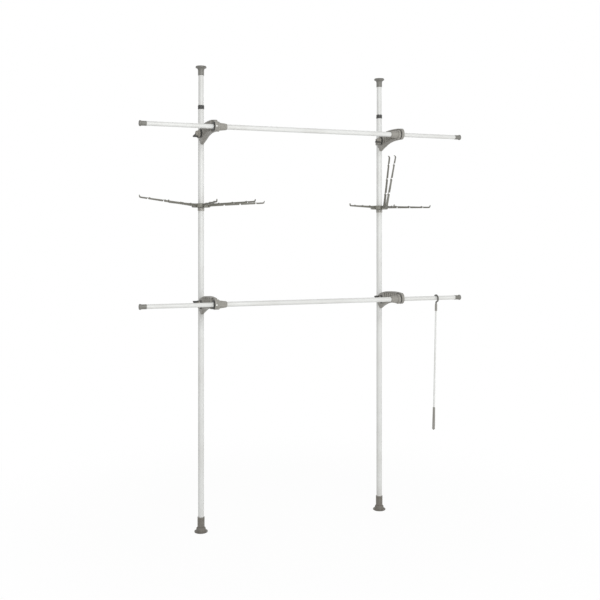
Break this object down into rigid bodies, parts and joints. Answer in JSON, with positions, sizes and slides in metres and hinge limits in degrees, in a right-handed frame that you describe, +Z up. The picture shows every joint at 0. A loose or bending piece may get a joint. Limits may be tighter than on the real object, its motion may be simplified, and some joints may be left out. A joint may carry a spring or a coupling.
{
  "type": "telescopic clothes rack",
  "caption": "Floor-to-ceiling telescopic clothes rack: clamped poles carry hanging rails on arched brackets, carousels of folding hooks and a hanging reach stick.",
  "frame": {"origin": "On the floor line, midway between the two poles, where the rack is clamped between floor and ceiling.", "axes": "+Z up along the poles, +X along the rails to the right as seen from the room, -Y towards the room."},
  "size_m": [1.758, 0.3806, 2.4],
  "materials": {
    "powder_coat": "white powder-coated steel tube",
    "grey_moulding": "warm grey moulded plastic",
    "dark_moulding": "dark grey moulded plastic",
    "white_moulding": "white moulded plastic",
    "hook_moulding": "olive grey moulded plastic",
    "foot_moulding": "brown grey moulded plastic",
    "pad_rubber": "matt rubber"
  },
  "bodies": {
    "poles": {"left_foot": "foot_moulding", "left_foot_pad": "pad_rubber", "left_lower_tube": "powder_coat", "right_foot": "foot_moulding", "right_foot_pad": "pad_rubber", "right_lower_tube": "powder_coat"},
    "left_upper_pole": {"left_upper_tube": "powder_coat", "left_ceiling_cap": "grey_moulding", "left_ceiling_pad": "pad_rubber"},
    "left_collar": {"left_lock_collar": "dark_moulding"},
    "left_sleeve": {"left_carousel_sleeve": "hook_moulding"},
    "left_hub": {"left_carousel_hub": "hook_moulding"},
    "left_hook_1": {"left_hook_1": "hook_moulding"},
    "left_hook_2": {"left_hook_2": "hook_moulding"},
    "left_hook_3": {"left_hook_3": "hook_moulding"},
    "left_hook_4": {"left_hook_4": "hook_moulding"},
    "left_hook_5": {"left_hook_5": "hook_moulding"},
    "right_upper_pole": {"right_upper_tube": "powder_coat", "right_ceiling_cap": "grey_moulding", "right_ceiling_pad": "pad_rubber"},
    "right_collar": {"right_lock_collar": "dark_moulding"},
    "right_sleeve": {"right_carousel_sleeve": "hook_moulding"},
    "right_hub": {"right_carousel_hub": "hook_moulding"},
    "right_hook_1": {"right_hook_1": "hook_moulding"},
    "right_hook_2": {"right_hook_2": "hook_moulding"},
    "right_hook_3": {"right_hook_3": "hook_moulding"},
    "right_hook_4": {"right_hook_4": "hook_moulding"},
    "right_hook_5": {"right_hook_5": "hook_moulding"},
    "upper_rail": {"upper_centre_tube": "powder_coat", "upper_left_bracket": "grey_moulding", "upper_right_bracket": "grey_moulding", "upper_left_bush": "dark_moulding", "upper_right_bush": "dark_moulding", "upper_left_button": "white_moulding"},
    "upper_left_end": {"upper_left_end_tube": "powder_coat", "upper_left_end_cap": "grey_moulding"},
    "upper_left_nut": {"upper_left_nut": "grey_moulding"},
    "upper_left_knob": {"upper_left_knob": "grey_moulding"},
    "upper_right_end": {"upper_right_end_tube": "powder_coat", "upper_right_end_cap": "grey_moulding"},
    "upper_right_nut": {"upper_right_nut": "grey_moulding"},
    "upper_right_knob": {"upper_right_knob": "grey_moulding"},
    "lower_rail": {"lower_centre_tube": "powder_coat", "lower_left_bracket": "grey_moulding", "lower_right_bracket": "grey_moulding", "lower_left_bush": "dark_moulding", "lower_right_bush": "dark_moulding", "lower_left_button": "white_moulding"},
    "lower_left_end": {"lower_left_end_tube": "powder_coat", "lower_left_end_cap": "grey_moulding"},
    "lower_left_nut": {"lower_left_nut": "grey_moulding"},
    "lower_left_knob": {"lower_left_knob": "grey_moulding"},
    "lower_right_end": {"lower_right_end_tube": "powder_coat", "lower_right_end_cap": "grey_moulding"},
    "lower_right_nut": {"lower_right_nut": "grey_moulding"},
    "lower_right_knob": {"lower_right_knob": "grey_moulding"},
    "stick": {"stick_hook": "grey_moulding", "stick_ferrule": "grey_moulding", "stick_rod": "powder_coat", "stick_handle": "grey_moulding"}
  },
  "joints": [
    {"name": "left_pole_extension", "type": "slide", "parent": "poles", "child": "left_upper_pole", "axis": [0, 0, 1], "range_m": [-0.15, 0.3]},
    {"name": "left_collar_twist", "type": "hinge", "parent": "poles", "child": "left_collar", "pos_m": [-0.51, 0, 2.188], "axis": [0, 0, 1], "range_deg": [0, 90]},
    {"name": "left_carousel_height", "type": "slide", "parent": "poles", "child": "left_sleeve", "axis": [0, 0, 1], "range_m": [-0.1, 0.02]},
    {"name": "left_carousel_turn", "type": "hinge", "parent": "left_sleeve", "child": "left_hub", "pos_m": [-0.51, 0, 1.684], "axis": [0, 0, 1], "continuous": true},
    {"name": "left_hook_1_fold", "type": "hinge", "parent": "left_hub", "child": "left_hook_1", "pos_m": [-0.54974, -0.00453, 1.684], "axis": [-0.1132, 0.9936, 0], "range_deg": [-5, 76]},
    {"name": "left_hook_2_fold", "type": "hinge", "parent": "left_hub", "child": "left_hook_2", "pos_m": [-0.53702, -0.02949, 1.684], "axis": [-0.7373, 0.6756, 0], "range_deg": [0, 82]},
    {"name": "left_hook_3_fold", "type": "hinge", "parent": "left_hub", "child": "left_hook_3", "pos_m": [-0.51105, -0.03999, 1.684], "axis": [-0.9997, 0.0262, 0], "range_deg": [0, 81.5]},
    {"name": "left_hook_4_fold", "type": "hinge", "parent": "left_hub", "child": "left_hook_4", "pos_m": [-0.48456, -0.03087, 1.684], "axis": [-0.7716, -0.6361, 0], "range_deg": [-0.5, 80.5]},
    {"name": "left_hook_5_fold", "type": "hinge", "parent": "left_hub", "child": "left_hook_5", "pos_m": [-0.47055, -0.0066, 1.684], "axis": [-0.165, -0.9863, 0], "range_deg": [-0.5, 80.5]},
    {"name": "right_pole_extension", "type": "slide", "parent": "poles", "child": "right_upper_pole", "axis": [0, 0, 1], "range_m": [-0.15, 0.3]},
    {"name": "right_collar_twist", "type": "hinge", "parent": "poles", "child": "right_collar", "pos_m": [0.51, 0, 2.188], "axis": [0, 0, 1], "range_deg": [0, 90]},
    {"name": "right_carousel_height", "type": "slide", "parent": "poles", "child": "right_sleeve", "axis": [0, 0, 1], "range_m": [-0.1, 0.02]},
    {"name": "right_carousel_turn", "type": "hinge", "parent": "right_sleeve", "child": "right_hub", "pos_m": [0.51, 0, 1.684], "axis": [0, 0, 1], "continuous": true},
    {"name": "right_hook_1_fold", "type": "hinge", "parent": "right_hub", "child": "right_hook_1", "pos_m": [0.47776, -0.02368, 1.684], "axis": [-0.592, 0.8059, 0], "range_deg": [0, 83]},
    {"name": "right_hook_2_fold", "type": "hinge", "parent": "right_hub", "child": "right_hook_2", "pos_m": [0.50121, -0.03902, 1.684], "axis": [-0.9755, 0.2198, 0], "range_deg": [0, 84.5]},
    {"name": "right_hook_3_fold", "type": "hinge", "parent": "right_hub", "child": "right_hook_3", "pos_m": [0.52896, -0.03522, 1.684], "axis": [-0.8805, -0.4741, 0], "range_deg": [0, 84.5]},
    {"name": "right_hook_4_fold", "type": "hinge", "parent": "right_hub", "child": "right_hook_4", "pos_m": [0.54742, -0.01414, 1.684], "axis": [-0.3535, -0.9354, 0], "range_deg": [-77.5, 3.5]},
    {"name": "right_hook_5_fold", "type": "hinge", "parent": "right_hub", "child": "right_hook_5", "pos_m": [0.54752, 0.01388, 1.684], "axis": [0.3469, -0.9379, 0], "range_deg": [-79, 2]},
    {"name": "upper_rail_height", "type": "slide", "parent": "poles", "child": "upper_rail", "axis": [0, 0, 1], "range_m": [-0.25, 0.09]},
    {"name": "upper_left_end_slide", "type": "slide", "parent": "upper_rail", "child": "upper_left_end", "axis": [-1, 0, 0], "range_m": [-0.315, 0.08]},
    {"name": "upper_left_nut_turn", "type": "hinge", "parent": "upper_rail", "child": "upper_left_nut", "pos_m": [-0.47, -0.249, 2.062], "axis": [1, 0, 0], "range_deg": [0, 180]},
    {"name": "upper_left_knob_turn", "type": "hinge", "parent": "upper_rail", "child": "upper_left_knob", "pos_m": [-0.53, -0.052, 2.048], "axis": [-1, 0, 0], "range_deg": [0, 180]},
    {"name": "upper_right_end_slide", "type": "slide", "parent": "upper_rail", "child": "upper_right_end", "axis": [1, 0, 0], "range_m": [-0.315, 0.08]},
    {"name": "upper_right_nut_turn", "type": "hinge", "parent": "upper_rail", "child": "upper_right_nut", "pos_m": [0.48, -0.249, 2.062], "axis": [1, 0, 0], "range_deg": [0, 180]},
    {"name": "upper_right_knob_turn", "type": "hinge", "parent": "upper_rail", "child": "upper_right_knob", "pos_m": [0.49, -0.052, 2.048], "axis": [-1, 0, 0], "range_deg": [0, 180]},
    {"name": "lower_rail_height", "type": "slide", "parent": "poles", "child": "lower_rail", "axis": [0, 0, 1], "range_m": [-0.42, 0.3]},
    {"name": "lower_left_end_slide", "type": "slide", "parent": "lower_rail", "child": "lower_left_end", "axis": [-1, 0, 0], "range_m": [-0.315, 0.08]},
    {"name": "lower_left_nut_turn", "type": "hinge", "parent": "lower_rail", "child": "lower_left_nut", "pos_m": [-0.47, -0.249, 1.19], "axis": [1, 0, 0], "range_deg": [0, 180]},
    {"name": "lower_left_knob_turn", "type": "hinge", "parent": "lower_rail", "child": "lower_left_knob", "pos_m": [-0.53, -0.052, 1.176], "axis": [-1, 0, 0], "range_deg": [0, 180]},
    {"name": "lower_right_end_slide", "type": "slide", "parent": "lower_rail", "child": "lower_right_end", "axis": [1, 0, 0], "range_m": [-0.19, 0.08]},
    {"name": "lower_right_nut_turn", "type": "hinge", "parent": "lower_rail", "child": "lower_right_nut", "pos_m": [0.48, -0.249, 1.19], "axis": [1, 0, 0], "range_deg": [0, 180]},
    {"name": "lower_right_knob_turn", "type": "hinge", "parent": "lower_rail", "child": "lower_right_knob", "pos_m": [0.49, -0.052, 1.176], "axis": [-1, 0, 0], "range_deg": [0, 180]},
    {"name": "stick_swing", "type": "hinge", "parent": "lower_right_end", "child": "stick", "pos_m": [0.729, -0.249, 1.19], "axis": [1, 0, 0], "range_deg": [-35, 35]}
  ]
}
